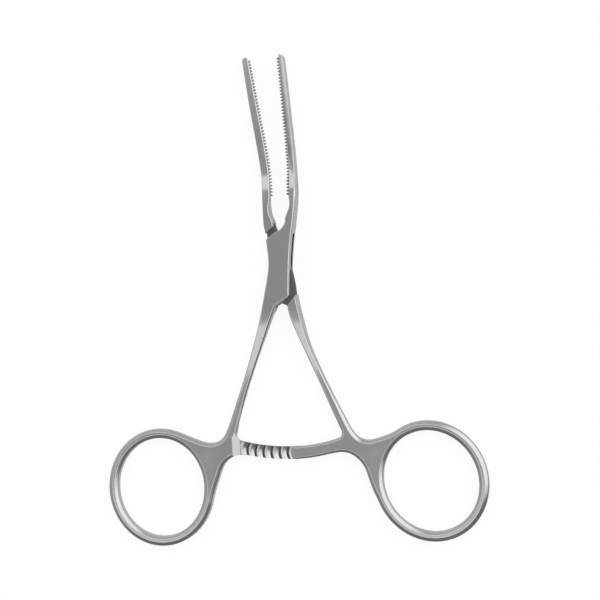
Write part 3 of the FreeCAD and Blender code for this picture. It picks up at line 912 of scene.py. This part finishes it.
CAMERA_SIDE_DEG = 12.0
CAMERA_ROLL_DEG = 3.3
CAMERA_FAR = 0.4
CAMERA_LENS = 86.4
AIM = Vector((4.941, -10.043, 2.5)) * MM
PANEL_WAY = (-0.2078, 0.02, 0.978)
SHADE_WAY = (-0.374, 0.07, 0.925)
WINDOW_WAY = (0.54, 0.27, 0.8)
BRIGHT_SIDE_WAY = (-0.5, 0.87, 0.0)
TABLE_HALF = 3.0
TABLE_SEEN = (0.16, 0.16, 0.16, 1)
TABLE_GLOW_SEEN = 0.9
TABLE_MIRRORED = (0.8, 0.8, 0.8, 1)
TABLE_GLOW_MIRRORED = 0.15


def white_table():
    """A wide white floor that keeps the clamp's soft shadow."""
    bm = bmesh.new()
    bmesh.ops.create_grid(bm, x_segments=1, y_segments=1, size=TABLE_HALF)
    table = piece("table", bm)
    material = bpy.data.materials.new("white_table")
    material.use_nodes = True
    nodes, links = material.node_tree.nodes, material.node_tree.links
    nodes.remove(nodes["Principled BSDF"])
    cloth = nodes.new("ShaderNodeBsdfDiffuse")
    cloth.inputs["Color"].default_value = TABLE_MIRRORED
    paper = nodes.new("ShaderNodeBsdfDiffuse")
    paper.inputs["Color"].default_value = TABLE_SEEN
    glow = nodes.new("ShaderNodeEmission")
    glow.inputs["Strength"].default_value = TABLE_GLOW_SEEN
    sheen = nodes.new("ShaderNodeEmission")
    sheen.inputs["Strength"].default_value = TABLE_GLOW_MIRRORED
    soft = nodes.new("ShaderNodeAddShader")
    lit = nodes.new("ShaderNodeAddShader")
    path = nodes.new("ShaderNodeLightPath")
    mix = nodes.new("ShaderNodeMixShader")
    links.new(paper.outputs[0], lit.inputs[0])
    links.new(glow.outputs[0], lit.inputs[1])
    links.new(path.outputs["Is Camera Ray"], mix.inputs[0])
    links.new(cloth.outputs[0], soft.inputs[0])
    links.new(sheen.outputs[0], soft.inputs[1])
    links.new(soft.outputs[0], mix.inputs[1])
    links.new(lit.outputs[0], mix.inputs[2])
    links.new(mix.outputs[0], nodes["Material Output"].inputs["Surface"])
    table.data.materials.clear()
    table.data.materials.append(material)
    table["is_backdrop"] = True


def tent():
    """The world: a dark panel where flat faces mirror, bright round it, dim low down and behind."""
    world = bpy.data.worlds.new("tent")
    bpy.context.scene.world = world
    world.use_nodes = True
    nodes, links = world.node_tree.nodes, world.node_tree.links
    sky = nodes["Background"]
    sky.inputs["Color"].default_value = (1.0, 1.0, 1.0, 1.0)
    place = nodes.new("ShaderNodeTexCoord")

    def share(way, far, near, low, high, easing="SMOOTHSTEP"):
        """A strength that goes from low to high as the view turns towards a direction."""
        dot = nodes.new("ShaderNodeVectorMath")
        dot.operation = "DOT_PRODUCT"
        dot.inputs[1].default_value = way
        there = nodes.new("ShaderNodeMapRange")
        there.interpolation_type = easing
        there.inputs["From Min"].default_value = far
        there.inputs["From Max"].default_value = near
        there.inputs["To Min"].default_value = low
        there.inputs["To Max"].default_value = high
        links.new(place.outputs["Generated"], dot.inputs[0])
        links.new(dot.outputs["Value"], there.inputs["Value"])
        return there.outputs["Result"]

    def worked(operation, a, b):
        """Two strengths multiplied, added or compared."""
        both = nodes.new("ShaderNodeMath")
        both.operation = operation
        links.new(a, both.inputs[0])
        links.new(b, both.inputs[1])
        return both.outputs[0]

    def within(way, outer_deg, inner_deg, low, high):
        """A round patch of sky: low outside its outer angle, high inside its inner angle."""
        far, near = [math.cos(math.radians(angle)) for angle in (outer_deg, inner_deg)]
        return share(way, far, near, low, high)

    panel = within(PANEL_WAY, outer_deg=12.5, inner_deg=9.5, low=1.0, high=0.38)
    shade = within(SHADE_WAY, outer_deg=9, inner_deg=3, low=1.0, high=0.45)
    collar = within(PANEL_WAY, outer_deg=42, inner_deg=22, low=0.0, high=0.9)
    window = within(WINDOW_WAY, outer_deg=42, inner_deg=17, low=0.0, high=1.15)
    around = share(BRIGHT_SIDE_WAY, far=-0.2, near=1.1, low=0.18, high=0.65, easing="LINEAR")
    open_sky = worked("MAXIMUM", worked("MAXIMUM", collar, around), window)
    links.new(worked("MULTIPLY", worked("MULTIPLY", panel, shade), open_sky), sky.inputs["Strength"])


def camera():
    """The photograph's view: from above, a little from the right, slightly rolled."""
    data = bpy.data.cameras.new("camera")
    data.lens = CAMERA_LENS
    data.sensor_width = 36.0
    data.clip_start = 0.01
    thing = bpy.data.objects.new("camera", data)
    bpy.context.scene.collection.objects.link(thing)
    side = math.radians(CAMERA_SIDE_DEG)
    back = Vector((math.sin(side), 0.0, math.cos(side)))
    thing.location = AIM + back * CAMERA_FAR
    right = Vector((math.cos(side), 0.0, -math.sin(side)))
    up = Vector((0.0, 1.0, 0.0))
    roll = math.radians(CAMERA_ROLL_DEG)
    across = right * math.cos(roll) - up * math.sin(roll)
    along = right * math.sin(roll) + up * math.cos(roll)
    turn = Matrix((across, along, back)).transposed()
    thing.rotation_euler = turn.to_euler()
    bpy.context.scene.camera = thing


white_table()
tent()
camera()
bpy.context.scene.view_settings.view_transform = "Standard"

low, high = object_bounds()
